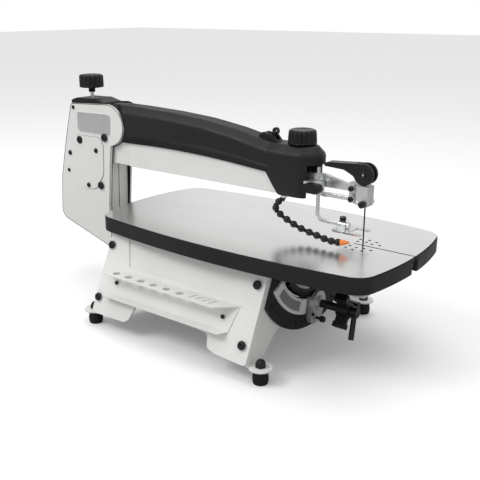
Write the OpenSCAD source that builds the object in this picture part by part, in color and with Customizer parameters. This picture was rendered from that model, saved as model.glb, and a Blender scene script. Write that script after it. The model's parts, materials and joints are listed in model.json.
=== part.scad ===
/* [Throat and table] */
// Distance from the blade to the front face of the rear column
throat = 559; // [540:1:575]
// Height of the table top above the bench
table_h = 198; // [196:1:204]
// Reach of the table in front of the blade, on the centre line
table_front = 90; // [86:1:96]
// Reach of the table behind the blade, on the centre line
table_back = 486; // [480:1:495]
// Greatest half width of the table
table_half = 156; // [152:1:160]
// Depth of the black rim round the table
rim_depth = 27; // [24:1:30]

/* [Base] */
// Lean of the side panels from vertical, in degrees
splay = 24.5; // [24:0.5:25]
// Front face of the base, behind the blade
base_front = 95; // [94:1:96]
// Rear face of the base, behind the blade
base_rear = 445; // [440:1:450]
// Sheet thickness of the base panels
sheet = 4; // [3.5:0.5:4.5]
// Radius of the rubber feet
foot_r = 13; // [11:0.5:14]

/* [Arms] */
// Height of the upper beam's underside above the table
beam_z = 67.3; // [66.5:0.1:68]
// Half width of the upper beam
beam_half = 21; // [20:0.5:21.5]
// Half width of the front head cover
head_half = 32; // [30:1:34]
// Height of the lift pivot above the table
lift_z = 140; // [139:0.5:141]

/* [Blade drive] */
// Length of the front rockers, from pivot to blade holder pin
rocker_len = 100; // [96:1:104]
// Height of the upper rocker pivot above the table
rocker_z = 92; // [91:0.5:93]
// Depth of the lower rocker pivot below the table
rocker_low = 66; // [65.5:0.5:66.5]
// Vertical spacing of the upper rocker and its parallel link
link_gap = 17; // [16.5:0.5:17.5]
// Blade length
blade_len = 127; // [125:1:130]
// Blade width
blade_w = 2.4; // [1:0.2:3]

/* [Tilt drive] */
// Radius of the trunnion plates
trunnion_r = 163; // [160:1:165]
// Distance from the tilt axis to the pinion shaft
pinion_drop = 119; // [118:0.5:120]

/* [Hidden] */
$fn = 64;
blade_x = 307.8;                     // blade ahead of the middle of the machine
col_x = -throat;                     // front of the column
lift_x = col_x + 11;                 // lift pivot
side_y = 110.4;                      // base panel half width at table height
side_k = tan(splay);                 // its growth per millimetre of drop
foot_y = 169;
foot_x = [-78, -456];
tab_top = -170;
tab_t = 3;
pin_r = 2.5;
slide_gap = 0.06;                    // running clearance of pins and shafts
rocker_x = -20 - rocker_len;
up_arm = lift_z - rocker_z;          // rocker arm that the push rod drives
low_arm = 22;
low_rod_z = -rocker_low - low_arm;
low_gap = 15;
rear_x = lift_x - 27;                // rear rocker fulcrum
rear_z = (low_arm * lift_z + up_arm * low_rod_z) / (low_arm + up_arm);
motor_x = -650;
crank_z = -55;
crank_e = 1.1;
motor_r = 32;
pinion_teeth = 12;
ring_teeth = 7 * pinion_teeth;       // seven turns of the knob to one of the arm
mod = 2 * pinion_drop / (ring_teeth + pinion_teeth);
ring_pitch = mod * ring_teeth / 2;
pinion_pitch = mod * pinion_teeth / 2;
ring_tip = ring_pitch + 0.7 * mod;
opening_r = ring_tip + 1.2;
pinion_front = -76;                  // front face of the pinion housing
panel_top = -28;                     // top edge of the base panels
plate_t = 6;                         // steel table plate
slot_back = 16;                      // blade slot behind the blade
table_corner = 34;
shelf_z = -88;
arm_top = -56.5;                     // lower arm, a square tube
arm_bot = -100;
arm_half = 24;
chuck_gap = 0.6;                     // slit of the blade chucks
lever_x = -2;                        // pivot of the tension lever
lever_z = 116;
lever_disc = 17;
swivel_z = 28;                       // axis of the hold-down foot
side_half = 25;                      // half width of the beam between column and head
side_front = -138;                   // front end of that wider part, inside the head
nose_x = -78.5;                      // front of the head
shoe_x = -143;                       // rear corner of the head's underside
dial_x = -119;
knob_x = -620;                       // rear tension knob
hose_r = 3.6;
bead_r = 5;
white = [0.9, 0.9, 0.88];
black = [0.07, 0.07, 0.075];
steel = [0.72, 0.73, 0.75];
dark_steel = [0.3, 0.3, 0.32];
bronze = [0.7, 0.5, 0.3];
rubber = [0.04, 0.04, 0.04];

// ---------- helpers ----------
function unit(v) = v / norm(v);
// Points of a fillet of radius r at corner b between neighbours a and c
function fillet(a, b, c, r, n = 6) = r <= 0 ? [b] :
    let (u = unit(a - b), w = unit(c - b), h = acos(u * w) / 2,
         o = b + unit(u + w) * r / sin(h), d = r / tan(h),
         p = b + u * d - o, q = b + w * d - o,
         s = atan2(p[1], p[0]), e = atan2(q[1], q[0]),
         t = (e - s + 540) % 360 - 180)
    [for (i = [0:n]) o + r * [cos(s + t * i / n), sin(s + t * i / n)]];
function flat(p) = [p[0], p[1]];
// Outline with a radius at each corner, from [x, y, radius] points
function rounded(p) = let (n = len(p)) [for (i = [0:n - 1])
    each fillet(flat(p[(i + n - 1) % n]), flat(p[i]), flat(p[(i + 1) % n]), p[i][2])];
function panel_y(z) = side_y - side_k * z;

module at_blade() translate([blade_x, 0, table_h]) children();
module both_sides() { children(); mirror([0, 1, 0]) children(); }
module slab_xz(y0, y1) translate([0, y1, 0]) rotate([90, 0, 0])
    linear_extrude(y1 - y0) children();
module slab_yz(x0, x1) translate([x0, 0, 0]) rotate([90, 0, 90])
    linear_extrude(x1 - x0) children();
module ycyl(x, z, r, y0, y1) translate([x, y1, z]) rotate([90, 0, 0]) cylinder(r = r, h = y1 - y0);
module xcyl(y, z, r, x0, x1) translate([x0, y, z]) rotate([0, 90, 0]) cylinder(r = r, h = x1 - x0);
module zcyl(x, y, r, z0, z1) translate([x, y, z0]) cylinder(r = r, h = z1 - z0);
module box(x0, x1, y0, y1, z0, z1) translate([x0, y0, z0]) cube([x1 - x0, y1 - y0, z1 - z0]);
// Straight web between two points of the XZ plane
module web(p, q, w, y0, y1)
    translate([p[0], y0, p[1]]) rotate([0, -atan2(q[1] - p[1], q[0] - p[0]), 0])
        translate([0, 0, -w / 2]) cube([norm(q - p), y1 - y0, w]);
// Sector of a ring about the tilt axis, angles from straight down towards +Y
module sector(r0, r1, a0, a1, n = 24) polygon(concat(
    [for (i = [0:n]) let (a = a0 + (a1 - a0) * i / n) r1 * [sin(a), -cos(a)]],
    [for (i = [n:-1:0]) let (a = a0 + (a1 - a0) * i / n) r0 * [sin(a), -cos(a)]]));
module fluted(r, h, n, cut) difference() {
    cylinder(r = r, h = h);
    for (i = [0:n - 1]) rotate(i * 360 / n) translate([r + cut * 0.45, 0, -1])
        cylinder(r = cut, h = h + 2, $fn = 24);
}

// ---------- base ----------
module side_panel() {
    drop = cos(splay);
    outline = rounded([[-base_rear, 0, 0], [-base_front, 0, 0],
        [-base_front, (tab_top - panel_top) / drop + 2, 6], [-158, -151, 10], [-175, -146, 8],
        [-180, -124, 10], [-217, -119.8, 10], [-345, -119.8, 4], [-354, -147, 10],
        [-364, -153, 6], [-base_rear, (tab_top - panel_top) / drop + 2, 8]]);
    translate([0, -panel_y(panel_top), panel_top]) rotate([-splay, 0, 0]) difference() {
        slab_xz(0, sheet) polygon(outline);
        slab_xz(-1, 2.2)
            polygon(rounded([[-403, -4, 4], [-151, -4, 4], [-165, -57, 4], [-383, -57, 4]]));
        for (x = [-436, -109], z = [-27.5, -125]) ycyl(x, z, 3.3, -1, sheet + 1);
        for (x = [-400, -157]) ycyl(x, -90, 2.2, -1, sheet + 1);
    }
}
module base_side_left() color(white) at_blade() side_panel();
module base_side_right() color(white) at_blade() mirror([0, 1, 0]) side_panel();

module end_outline(inner) {
    inset = sheet / cos(splay) + 0.2;
    difference() {
        polygon([[-(panel_y(panel_top) - inset), panel_top], [panel_y(panel_top) - inset, panel_top],
            [panel_y(tab_top) - inset, tab_top], [136, tab_top], [100, -137],
            [-100, -137], [-136, tab_top], [-(panel_y(tab_top) - inset), tab_top]]);
        circle(r = inner, $fn = 128);
    }
}
// Ledge at the foot of an end panel, drilled for the foot stud
module foot_tab(x_panel, x_foot) both_sides() difference() {
    union() {
        zcyl(x_foot, -foot_y, 19, tab_top - tab_t, tab_top);
        box(min(x_panel, x_foot), max(x_panel, x_foot), -foot_y - 12, -foot_y + 19,
            tab_top - tab_t, tab_top);
        box(min(x_panel, x_panel + sheet), max(x_panel, x_panel + sheet), -foot_y - 12, -foot_y + 19,
            tab_top - tab_t, tab_top + 1);
    }
    zcyl(x_foot, -foot_y, 4.2, tab_top - tab_t - 1, tab_top + 1);
}
module base_front_panel() color(white) at_blade() {
    slab_yz(-base_front - sheet, -base_front) end_outline(opening_r + 1);
    foot_tab(-base_front - sheet, foot_x[0]);
}
module base_rear_panel() color(white) at_blade() {
    slab_yz(-base_rear, -base_rear + sheet) end_outline(opening_r + 1);
    foot_tab(-base_rear + sheet, foot_x[1]);
}
module foot_at() for (x = foot_x) both_sides() at_blade() translate([x, -foot_y, 0]) children();
module feet() color(rubber) foot_at() {
    translate([0, 0, -table_h]) cylinder(r1 = foot_r - 1.5, r2 = foot_r, h = 6);
    translate([0, 0, -table_h + 6]) cylinder(r = foot_r, h = 8);
    translate([0, 0, -table_h + 14])
        cylinder(r1 = foot_r, r2 = foot_r - 3, h = table_h + tab_top - tab_t - 14);
}
module foot_nuts() color(black) foot_at() {
    translate([0, 0, tab_top - tab_t]) cylinder(r = 4, h = 6);
    translate([0, 0, tab_top]) cylinder(r = 9, h = 7, $fn = 6);
    translate([0, 0, tab_top + 7]) cylinder(r1 = 7.2, r2 = 4.5, h = 5);
}
module base_bolts() color(black) {
    both_sides() at_blade() translate([0, -panel_y(panel_top), panel_top]) rotate([-splay, 0, 0]) {
        for (x = [-436, -109], z = [-27.5, -125]) {
            ycyl(x, z, 7.5, -3.5, 0);
            ycyl(x, z, 3.2, 0, sheet + 3);
        }
    }
    at_blade() translate([0, -panel_y(panel_top), panel_top]) rotate([-splay, 0, 0])
        for (x = [-400, -157]) ycyl(x, -90, 3.6, -3.8, -1.6);
    at_blade() for (a = [-54, -38, 38, 54])
        xcyl(150 * sin(a), -150 * cos(a), 3.2, -base_front + 5, -base_front + 7);
}
module trunnion_shape(r) difference() {
    intersection() {
        circle(r = r, $fn = 160);
        polygon([[-(panel_y(-28) - 13), -28], [panel_y(-28) - 13, -28],
            [panel_y(-r) - 13, -r - 1], [-(panel_y(-r) - 13), -r - 1]]);
    }
    circle(r = opening_r, $fn = 128);
}
module trunnion_front() color(black) at_blade()
    slab_yz(-base_front, -base_front + 5) trunnion_shape(trunnion_r);
module trunnion_rear() color(black) at_blade()
    slab_yz(-base_rear + sheet, -base_rear + sheet + 6) trunnion_shape(trunnion_r - 15);
module tilt_scale() color([0.82, 0.82, 0.79]) at_blade() difference() {
    slab_yz(-base_front + 5, -base_front + 9) sector(opening_r + 2, 136, -62, -12);
    slab_yz(-base_front + 7, -base_front + 10) sector(opening_r + 6, 131, -56, -20);
}
module pinion_housing() color(steel) at_blade() difference() {
    union() {
        xcyl(0, -pinion_drop, 21, -base_front + 5, pinion_front);
        slab_yz(-base_front + 5, -base_front + 15) polygon(rounded([[-20, -pinion_drop, 0],
            [20, -pinion_drop, 0], [17, -157, 12], [-17, -157, 12]]));
        xcyl(0, -pinion_drop, 13, pinion_front, pinion_front + 5);
    }
    xcyl(0, -pinion_drop, pinion_pitch + 0.7 * mod + 0.8, -base_front + 4, -84);
    xcyl(0, -pinion_drop, 7 + slide_gap, -85, pinion_front + 6);
    xcyl(0, 0, opening_r, -base_front + 4, -83.5);
    xcyl(0, -148, 2.6, -base_front + 4, -base_front + 16);
}

// ---------- table ----------
module table_shape(inset) {
    front_r = 542;
    back_r = 385;
    side_r = 1720;
    offset(r = table_corner, $fn = 72) offset(delta = -table_corner - inset) intersection() {
        translate([table_front - front_r, 0]) circle(r = front_r, $fn = 240);
        translate([back_r - table_back, 0]) circle(r = back_r, $fn = 240);
        translate([-190, side_r - table_half]) circle(r = side_r, $fn = 720);
        translate([-190, table_half - side_r]) circle(r = side_r, $fn = 720);
    }
}
module blade_slot() {
    box(-slot_back, table_front + 10, -1.5, 1.5, -plate_t - 1, 1);
    translate([-slot_back, 0, 0]) rotate([90, 0, 90]) linear_extrude(table_front + slot_back + 10)
        polygon([[-1.5, -0.8], [1.5, -0.8], [8.5, -plate_t - 1], [-8.5, -plate_t - 1]]);
}
module dust_holes() for (s = [-1, 1])
    for (p = [[-16, 13], [-2.5, 17], [9, 13.5], [22, 15], [-17.5, 25], [-3, 29], [11.5, 26]])
        zcyl(p[0], s * p[1], 2.6, -plate_t - 1, 1);
module table_plate() color(steel) at_blade() difference() {
    translate([0, 0, -plate_t]) linear_extrude(plate_t) table_shape(1.2);
    blade_slot();
    dust_holes();
}
module table_rim() color(black) at_blade() difference() {
    translate([0, 0, -rim_depth]) linear_extrude(rim_depth - 1.5) table_shape(0);
    translate([0, 0, -rim_depth - 1]) linear_extrude(rim_depth - plate_t + 1) table_shape(8);
    translate([0, 0, -plate_t]) linear_extrude(plate_t + 1) table_shape(1.2);
    box(0, table_front + 10, -9, 9, -rim_depth - 1, -plate_t);
    box(0, table_front + 10, -1.5, 1.5, -plate_t - 1, 1);
}

// ---------- tool shelf ----------
module tool_shelf() color(white) at_blade() {
    face = -panel_y(shelf_z - 2) - 0.1;
    low = -45;
    difference() {
        translate([0, 0, shelf_z - 2]) linear_extrude(2)
            polygon([[-425, face], [-131, face], [-164, -182], [-411, -182]]);
        for (i = [0:5]) zcyl(-394 + 30 * i, -168, 7, shelf_z - 3, shelf_z + 1);
        for (i = [0:3]) translate([-218 + 14 * i, -165, shelf_z - 3]) rotate(-25)
            box(-1.6, 1.6, -8, 8, 0, 4);
    }
    translate([0, -panel_y(shelf_z), shelf_z]) rotate([-splay, 0, 0]) difference() {
        slab_xz(-1.6, -0.1) polygon([[-425, 0], [-131, 0], [-142, low - 3], [-422, low - 3]]);
        for (x = [-400, -157]) ycyl(x, -90 - (shelf_z - panel_top) / cos(splay), 2.2, -3, 1);
    }
    z2 = shelf_z - 46 * cos(splay);
    translate([0, 0, z2]) linear_extrude(1.6)
        polygon([[-422, -panel_y(z2) - 1], [-142, -panel_y(z2) - 1], [-150, -panel_y(z2) - 18],
                 [-415, -panel_y(z2) - 18]]);
}

// ---------- tilting lower arm ----------
module tooth_ring(pitch_r, count, first, last) {
    half = 0.21 * 360 / count;
    root = pitch_r - mod;
    tip = pitch_r + 0.7 * mod;
    polygon(concat([for (i = [first:last]) let (a = i * 360 / count)
        each [for (k = [[root, -1.45], [tip, -0.52], [tip, 0.52], [root, 1.45]])
            k[0] * [sin(a + half * k[1]), -cos(a + half * k[1])]]],
        [for (i = [0:24]) let (a = (last + (first - last) * i / 24) * 360 / count)
            (root - 10) * [sin(a), -cos(a)]]));
}
module rack_ring() color(dark_steel) at_blade()
    slab_yz(-base_front + 2, -base_front + 10) tooth_ring(ring_pitch, ring_teeth, -12, 8);
module arm_nose() color([0.55, 0.56, 0.57]) at_blade() difference() {
    slab_yz(-base_front + 2, -base_front + 8) sector(48, ring_pitch - mod - 10.3, -51, 36);
    box(-base_front, -base_front + 12, -15, 15, arm_bot + 4, -40);
}
module lower_arm() color(white) at_blade() {
    bevel = 7;
    difference() {
        slab_yz(-548, -base_front + 2) polygon([[-arm_half, arm_bot], [arm_half, arm_bot],
            [arm_half, arm_top - bevel], [arm_half - bevel, arm_top], [bevel - arm_half, arm_top],
            [-arm_half, arm_top - bevel]]);
        box(-549, -base_front + 3, -arm_half + 6, arm_half - 6, arm_bot + 4, arm_top - 4.5);
        box(-145, -base_front + 3, -14, 14, arm_top - 5, arm_top + 1);
        ycyl(rocker_x, -rocker_low, 4, -arm_half - 1, arm_half + 1);
        ycyl(rocker_x, -rocker_low - low_gap, 3, 0, arm_half + 1);
    }
    // rear bearing sector, riding in the rear trunnion
    difference() {
        slab_yz(-base_rear + sheet, -base_rear + sheet + 8) sector(60, opening_r - 0.3, -51, 36);
        box(-base_rear, -base_rear + 20, -arm_half, arm_half, arm_bot, arm_top);
    }
}
// Side view of the column: rear slope, round corner and diagonal foot
col_side = [[-652, 176, 6], [-676, 100, 60], [-697, 20, 60], [-706, -66, 22], [-566, -107, 6],
            [-548, -107, 0], [-548, -46, 0], [col_x, -46, 0], [-554, 64.5, 0], [-580, 64.5, 0],
            [-646, 64.5, 0], [-646, 176, 0]];
col_hollow = [[-672, 84, 4], [-690, 12, 30], [-696, -60, 14], [-564, -99, 4], [-549, -99, 0],
              [-549, -52, 0], [-566, -52, 0], [-562, 65, 0], [-640, 65, 4], [-641, 84, 0]];
module column_half() difference() {
    slab_xz(-24, -0.9) polygon(rounded(col_side));
    slab_xz(-18.5, 1) polygon(rounded(col_hollow));
    box(-549, -540, -arm_half - 1, 1, arm_bot, arm_top);
    ycyl(rear_x, rear_z, 5, -25, 0);
    ycyl(motor_x, crank_z, 9, -25, 0);
    box(-590, -564, -14, 1, 60, 70);
}
module column_left() color(white) at_blade() column_half();
module column_right() color(white) at_blade() mirror([0, 1, 0]) column_half();
// Side cover: column side with the round boss of the lift pivot
function cover_side(g) = concat(
    [for (i = [0:14]) let (a = 85 - 165 * i / 14)
        [lift_x + (43 + g) * cos(a), lift_z + 2 + (41 + g) * sin(a), 0]],
    [[-545.5, beam_z - 1, 0], [-554, -20, 0], [-554, -107 - g, 0], [-566, -107 - g, 6],
     [-706 - g, -66 - g, 22], [-697 - g, 20, 60], [-676 - g, 100, 60], [-652 - g, 178, 8]]);
module cover_plate(g, y0, y1) difference() {
    slab_xz(y0, y1) polygon(rounded(cover_side(g)));
    ycyl(lift_x, lift_z, 6, y0 - 1, y1 + 1);
}
module column_cover_left() color(white) at_blade() cover_plate(0, -30, -26);
module column_cover_right() color(white) at_blade() mirror([0, 1, 0]) difference() {
    cover_plate(0, -30, -26);
    ycyl(motor_x, crank_z, 20, -31, -25);
}
module seam() difference() {
    slab_xz(-0.9, 0.9) polygon(rounded(col_side));
    slab_xz(-2, 2) polygon(rounded(col_hollow));
    box(-549, -540, -2, 2, arm_bot, arm_top);
    box(-590, -564, -2, 2, 60, 70);
}
module column_gaskets() color(black) at_blade() {
    seam();
    cover_plate(1.5, -26, -24.1);
    mirror([0, 1, 0]) difference() {
        cover_plate(1.5, -26, -24.1);
        ycyl(motor_x, crank_z, 20, -27, -24);
    }
}
module access_plate() color(white) at_blade() slab_xz(-32, -30) polygon(rounded(
    [[-650, 114.5, 18], [-562, 116.5, 18], [-566, 44, 30], [-588, 9, 28], [-628, 7, 30], [-672, 40, 30]]));
module badge_plate() color(steel) at_blade() slab_xz(-33, -30)
    polygon(rounded([[-631, 162, 5], [-540, 164, 5], [-542, 126, 5], [-633, 126, 5]]));
module column_screws() color(black) at_blade() {
    for (p = [[-557, 117.5], [-575, 19], [-630, 106]]) ycyl(p[0], p[1], 8, -34, -32);
    for (p = [[-662, 76], [-583, 89], [-611, 15]]) ycyl(p[0], p[1], 5, -34.5, -32);
    for (p = [[-645, 170], [-672, 38]]) ycyl(p[0], p[1], 4, -33.5, -30);
    for (p = [[-630, 106], [-575, 19], [-600, -30]]) ycyl(p[0], p[1], 6, 30, 33);
    for (p = [[-557, 117.5], [-575, 19]]) ycyl(p[0], p[1], 4, -32, -30);
}
module top_cap() color(black) at_blade() difference() {
    slab_xz(-24, 24) polygon(rounded([[-659, 172, 2], [-655, 184, 4], [-640, 189, 8], [-590, 190, 8],
        [-564, 184, 4], [-562, 180.5, 0], [-645, 180.5, 0], [-645.5, 176.2, 0], [-655, 176.2, 0]]));
    zcyl(knob_x, 0, 4.3, 170, 200);
}
module motor() color(dark_steel) at_blade() {
    difference() {
        union() {
            ycyl(motor_x, crank_z, 18, 24.1, 34);
            ycyl(motor_x, crank_z, motor_r, 34, 90);
        }
        ycyl(motor_x, crank_z, motor_r - 4, 40, 86);
        ycyl(motor_x, crank_z, 7 + slide_gap, 24, 45);
    }
}
module cord_gland() color(black) at_blade() translate([-600, 30, -72]) rotate([-90, 0, 0]) {
    cylinder(r = 8, h = 8, $fn = 6);
    translate([0, 0, 8]) cylinder(r1 = 6.5, r2 = 5, h = 10);
}
// Fixed pivot pins of the tilting arm
module arm_pins() color(steel) at_blade() {
    both_sides() ycyl(lift_x, lift_z, 6, -30, -17);
    ycyl(rear_x, rear_z, 5, -24, 24);
    ycyl(rocker_x, -rocker_low, 4, -arm_half, arm_half);
    ycyl(rocker_x, -rocker_low - low_gap, 3, 4, arm_half);
}

// ---------- drive ----------
module motor_shaft() color(steel) at_blade() {
    ycyl(motor_x, crank_z, 7, 8, 84);
    ycyl(motor_x, crank_z, motor_r - 7, 46, 80);
    ycyl(motor_x + crank_e, crank_z, 9, -4, 4);
    ycyl(motor_x, crank_z, 5.5, 4, 8);
}
module rear_rocker() color(dark_steel) at_blade() difference() {
    union() {
        slab_xz(-11, -4.2) polygon([[rear_x - 5, low_rod_z], [rear_x + 5, low_rod_z],
            [rear_x + 6, rear_z], [-573, 57], [lift_x + 5, lift_z - 2], [lift_x - 5, lift_z + 2],
            [-583, 59], [rear_x - 6, rear_z]]);
        for (p = [[lift_x, lift_z, 7], [rear_x, rear_z, 10], [rear_x, crank_z, 7], [rear_x, low_rod_z, 6.5]])
            ycyl(p[0], p[1], p[2], -11, -4.2);
        ycyl(lift_x, lift_z, pin_r, -10.5, 4.5);
        ycyl(rear_x, low_rod_z, pin_r, -10.5, 4.5);
        ycyl(rear_x, crank_z, pin_r, -17, -5);
    }
    ycyl(rear_x, rear_z, 5 + slide_gap, -12, -3);
}
module pitman() color(steel) at_blade() difference() {
    union() {
        ycyl(rear_x, crank_z, 6.5, -17, -11.3);
        web([rear_x - 6, crank_z], [motor_x + 12, crank_z], 8, -17, -11.3);
        difference() {
            ycyl(motor_x, crank_z, 15.5, -17, 3.5);
            ycyl(motor_x, crank_z, 12, -11.3, 5);
        }
    }
    ycyl(rear_x, crank_z, pin_r + slide_gap, -18, -10);
}
// Push rod with an eye at each end, open upwards and downwards by play at the rear
module push_rod(x0, x1, z, play) difference() {
    union() {
        xcyl(0, z, 3.6, x0 + 5, x1 - 5);
        for (x = [x0, x1]) ycyl(x, z, 6.2, -3.7, 3.7);
    }
    ycyl(x1, z, pin_r + 0.4, -5, 5);
    if (play > 0) {
        for (s = [-1, 1]) ycyl(x0, z + s * play, pin_r + 0.4, -5, 5);
        box(x0 - pin_r - 0.4, x0 + pin_r + 0.4, -5, 5, z - play, z + play);
    } else ycyl(x0, z, pin_r + 0.4, -5, 5);
}
module lower_rod() color(steel) at_blade() push_rod(rear_x, rocker_x, low_rod_z, 0);
module upper_rod() color(steel) at_blade() push_rod(lift_x, rocker_x, lift_z, 1.7);
module lower_rocker() color(steel) at_blade() difference() {
    tip = rocker_x + rocker_len;
    union() {
        ycyl(rocker_x, -rocker_low, 8, -11, 3.6);
        ycyl(tip, -rocker_low, 6.5, -11, -3);
        ycyl(rocker_x, low_rod_z, 6.5, -11, -4);
        web([rocker_x, -rocker_low], [tip, -rocker_low], 9, -11, -4);
        web([rocker_x, low_rod_z], [rocker_x, -rocker_low], 9, -11, -4);
        ycyl(rocker_x, low_rod_z, pin_r, -11, 4);
    }
    ycyl(rocker_x, -rocker_low, 4 + slide_gap, -12, 5);
    ycyl(tip, -rocker_low, pin_r + slide_gap, -12, 5);
}
module parallel_link(z, y0, y1, rear_bore) difference() {
    tip = rocker_x + rocker_len;
    union() {
        for (x = [rocker_x, tip]) ycyl(x, z, 6, y0, y1);
        web([rocker_x, z], [tip, z], 7, y0, y1);
    }
    ycyl(rocker_x, z, rear_bore, y0 - 1, y1 + 1);
    ycyl(tip, z, pin_r + 0.3, y0 - 1, y1 + 1);
}
module lower_link() color(steel) at_blade()
    parallel_link(-rocker_low - low_gap, 4, 11, 3 + slide_gap);
module upper_link() color(steel) at_blade()
    parallel_link(rocker_z - link_gap, -11, -3, 3 + slide_gap);
module upper_rocker() color(steel) at_blade() difference() {
    tip = rocker_x + rocker_len;
    union() {
        ycyl(rocker_x, rocker_z, 9, -11, 3.6);
        ycyl(tip, rocker_z, 6.5, -11, -3);
        ycyl(rocker_x, lift_z, 6, -11, -4);
        slab_xz(-11, -3.4) polygon([[rocker_x, rocker_z - 4], [tip, rocker_z - 4], [tip, rocker_z + 5],
            [-70, rocker_z + 17], [rocker_x, rocker_z + 14]]);
        slab_xz(-11, -4) polygon([[rocker_x - 6, rocker_z], [rocker_x + 10, rocker_z + 8],
            [rocker_x + 4, lift_z], [rocker_x - 4, lift_z]]);
        ycyl(rocker_x, lift_z, pin_r, -11, 4);
    }
    ycyl(rocker_x, rocker_z, 4 + slide_gap, -12, 5);
    ycyl(tip, rocker_z, pin_r + slide_gap, -12, 5);
}
module upper_block() color(steel) at_blade() difference() {
    tip = rocker_x + rocker_len;
    union() {
        box(tip - 8, -11, -2.6, 9, 66.5, 100);
        box(-11, 9, -12, 9.5, 66.5, 98);
        // tongue between the two cheeks of the tension lever
        box(-11, 7, -4, 4, 97, lever_z);
        ycyl(lever_x, lever_z, 9, -4, 4);
        ycyl(lever_x, lever_z, 3, -9.6, 9.6);
        ycyl(tip, rocker_z, pin_r, -12.5, -2);
        ycyl(tip, rocker_z - link_gap, pin_r, -12.5, -2);
    }
    box(-3, 10, -chuck_gap, chuck_gap, 65, 82);
    ycyl(3, 71, 2.5 + slide_gap, -13, 0);
}
module lower_block() color(steel) at_blade() difference() {
    tip = rocker_x + rocker_len;
    union() {
        box(tip - 8, -11, -2.6, 3.6, -86, -54);
        box(-11, 13, -11, 11, -86, -40);
        ycyl(tip, -rocker_low, pin_r, -12, -2);
        ycyl(tip, -rocker_low - low_gap, pin_r, 3, 12);
    }
    box(-3, 14, -chuck_gap, chuck_gap, -60, -39);
    ycyl(3, -47, 2.5 + slide_gap, -12, 0);
}
module thumb_screw(y0) {
    ycyl(3, 0, 2.5, y0, -0.7);
    translate([3, y0, 0]) rotate([90, 0, 0]) fluted(5.5, 8, 10, 1.2);
}
module upper_chuck_screw() color(black) at_blade() translate([0, 0, 71]) thumb_screw(-12.3);
module lower_chuck_screw() color(black) at_blade() translate([0, 0, -47]) thumb_screw(-11.3);
module blade() color(dark_steel) at_blade()
    box(-blade_w / 2, blade_w / 2, -0.25, 0.25, 75 - blade_len, 75);
module tension_lever() color(black) at_blade() difference() {
    union() {
        slab_xz(-8.6, 8.6) polygon(rounded([[-74, 121.5, 2], [-68, 128, 5], [lever_x, 132.8, 0],
            [lever_x, 106, 0], [-15, 106, 0], [-20, 112, 8], [-36, 119.5, 12]]));
        ycyl(lever_x, lever_z, lever_disc, -8.6, 8.6);
    }
    ycyl(lever_x, lever_z, lever_disc + 5.5, -4.3, 4.3);
    ycyl(lever_x, lever_z, 3 + slide_gap, -9, 9);
}

// ---------- upper arm ----------
// Side view of the wider part of the beam, from the column into the head
beam_side = [[-498, beam_z], [-498, 116.5], [-429, 117], [-312, 112], [-206, 104.5], [-176, 103],
             [side_front, 101], [side_front, beam_z]];
module arm_shape() polygon(concat(
    [[-128, beam_z]], [[lift_x + 3, beam_z]],
    [for (i = [0:6]) lift_at(72.5, -90 - 8 * i)],
    [[-640, 118], [-640, 168], [-600, 172], [-545, 172], [-480, 160], [-190, 132], [-128, 118]]));
function lift_at(r, a) = [lift_x + r * cos(a), lift_z + r * sin(a)];
module upper_beam() color(white) at_blade() difference() {
    union() {
        slab_xz(-beam_half, beam_half) arm_shape();
        slab_xz(-side_half, side_half) polygon(beam_side);
    }
    box(-548, -100, -beam_half + 4, beam_half - 4, beam_z + 4, 190);
    box(-634, -540, -beam_half + 4, beam_half - 4, 60, 166);
    ycyl(lift_x, lift_z, 6 + slide_gap, -beam_half - 1, beam_half + 1);
    box(-141, -99, -beam_half + 4, beam_half - 4, 60, 80);
    ycyl(rocker_x, rocker_z, 16, -beam_half - 1, -10);
    ycyl(rocker_x, rocker_z, 16, 10, beam_half + 1);
}
// Top and bottom lines of the arm cover, falling to the head
cover_top = [[-556, 180], [-549, 183.2], [-520, 183.4], [-460, 182.2], [-384, 179.2], [-313, 173.7],
             [-246, 165], [-176, 150.2]];
cover_low = [[-176, 102], [-206, 105], [-258, 109.5], [-312, 112.5], [-369, 114.2], [-429, 114.7],
             [-493, 113.5]];
cover_drop = 12;                     // fall of the crown to the side walls
module arm_cover() color(black) at_blade() difference() {
    union() {
        slab_xz(-20, 20) polygon(concat(cover_top, cover_low, [[-500, 113.5], [-500, 172.2], [-556, 172.2]]));
        for (i = [1:3]) difference() {
            half = 20 + i * 3;
            slab_xz(-half, half) polygon(concat(
                [for (p = cover_top) if (p[0] > -540) [max(p[0], -512), p[1] - cover_drop * i / 3]],
                cover_low, [[-512, 113.5]]));
            ycyl(lift_x, lift_z, 46, -head_half, head_half);
        }
    }
    slab_xz(-beam_half - 0.2, beam_half + 0.2) polygon(concat(
        [for (p = cover_top) p - [0, 4]], [[-175, 90], [-600, 90], [-600, 172.1], [-556, 172.1]]));
    slab_xz(-side_half - 0.2, side_half + 0.2) polygon(beam_side);
}
module head_cover() color(black) at_blade() difference() {
    intersection() {
        slab_xz(-head_half, head_half) polygon(rounded([[-176, 150, 0], [-176, 107, 0],
            [shoe_x, 67, 4], [-96, 67, 0], [-96, 121, 0], [nose_x, 121, 0], [nose_x, 141.5, 6],
            [-92, 148.8, 10]]));
        union() {
            zcyl(-112, 0, 33.5, 60, 160);
            box(-180, -112, -head_half, head_half, 60, 160);
        }
    }
    box(-177, -96, -beam_half, beam_half, 60, 146.8);
    box(-177, side_front + 0.2, -side_half - 0.2, side_half + 0.2, 60, 103.2);
    box(-97, -82, -21, 21, 60, 138);
    box(-97, -70, -9.5, 9.5, 115, 136);
    ycyl(rocker_x, rocker_z, 4, -head_half - 1, head_half + 1);
    zcyl(dial_x, 0, 4, 140, 160);
}
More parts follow.
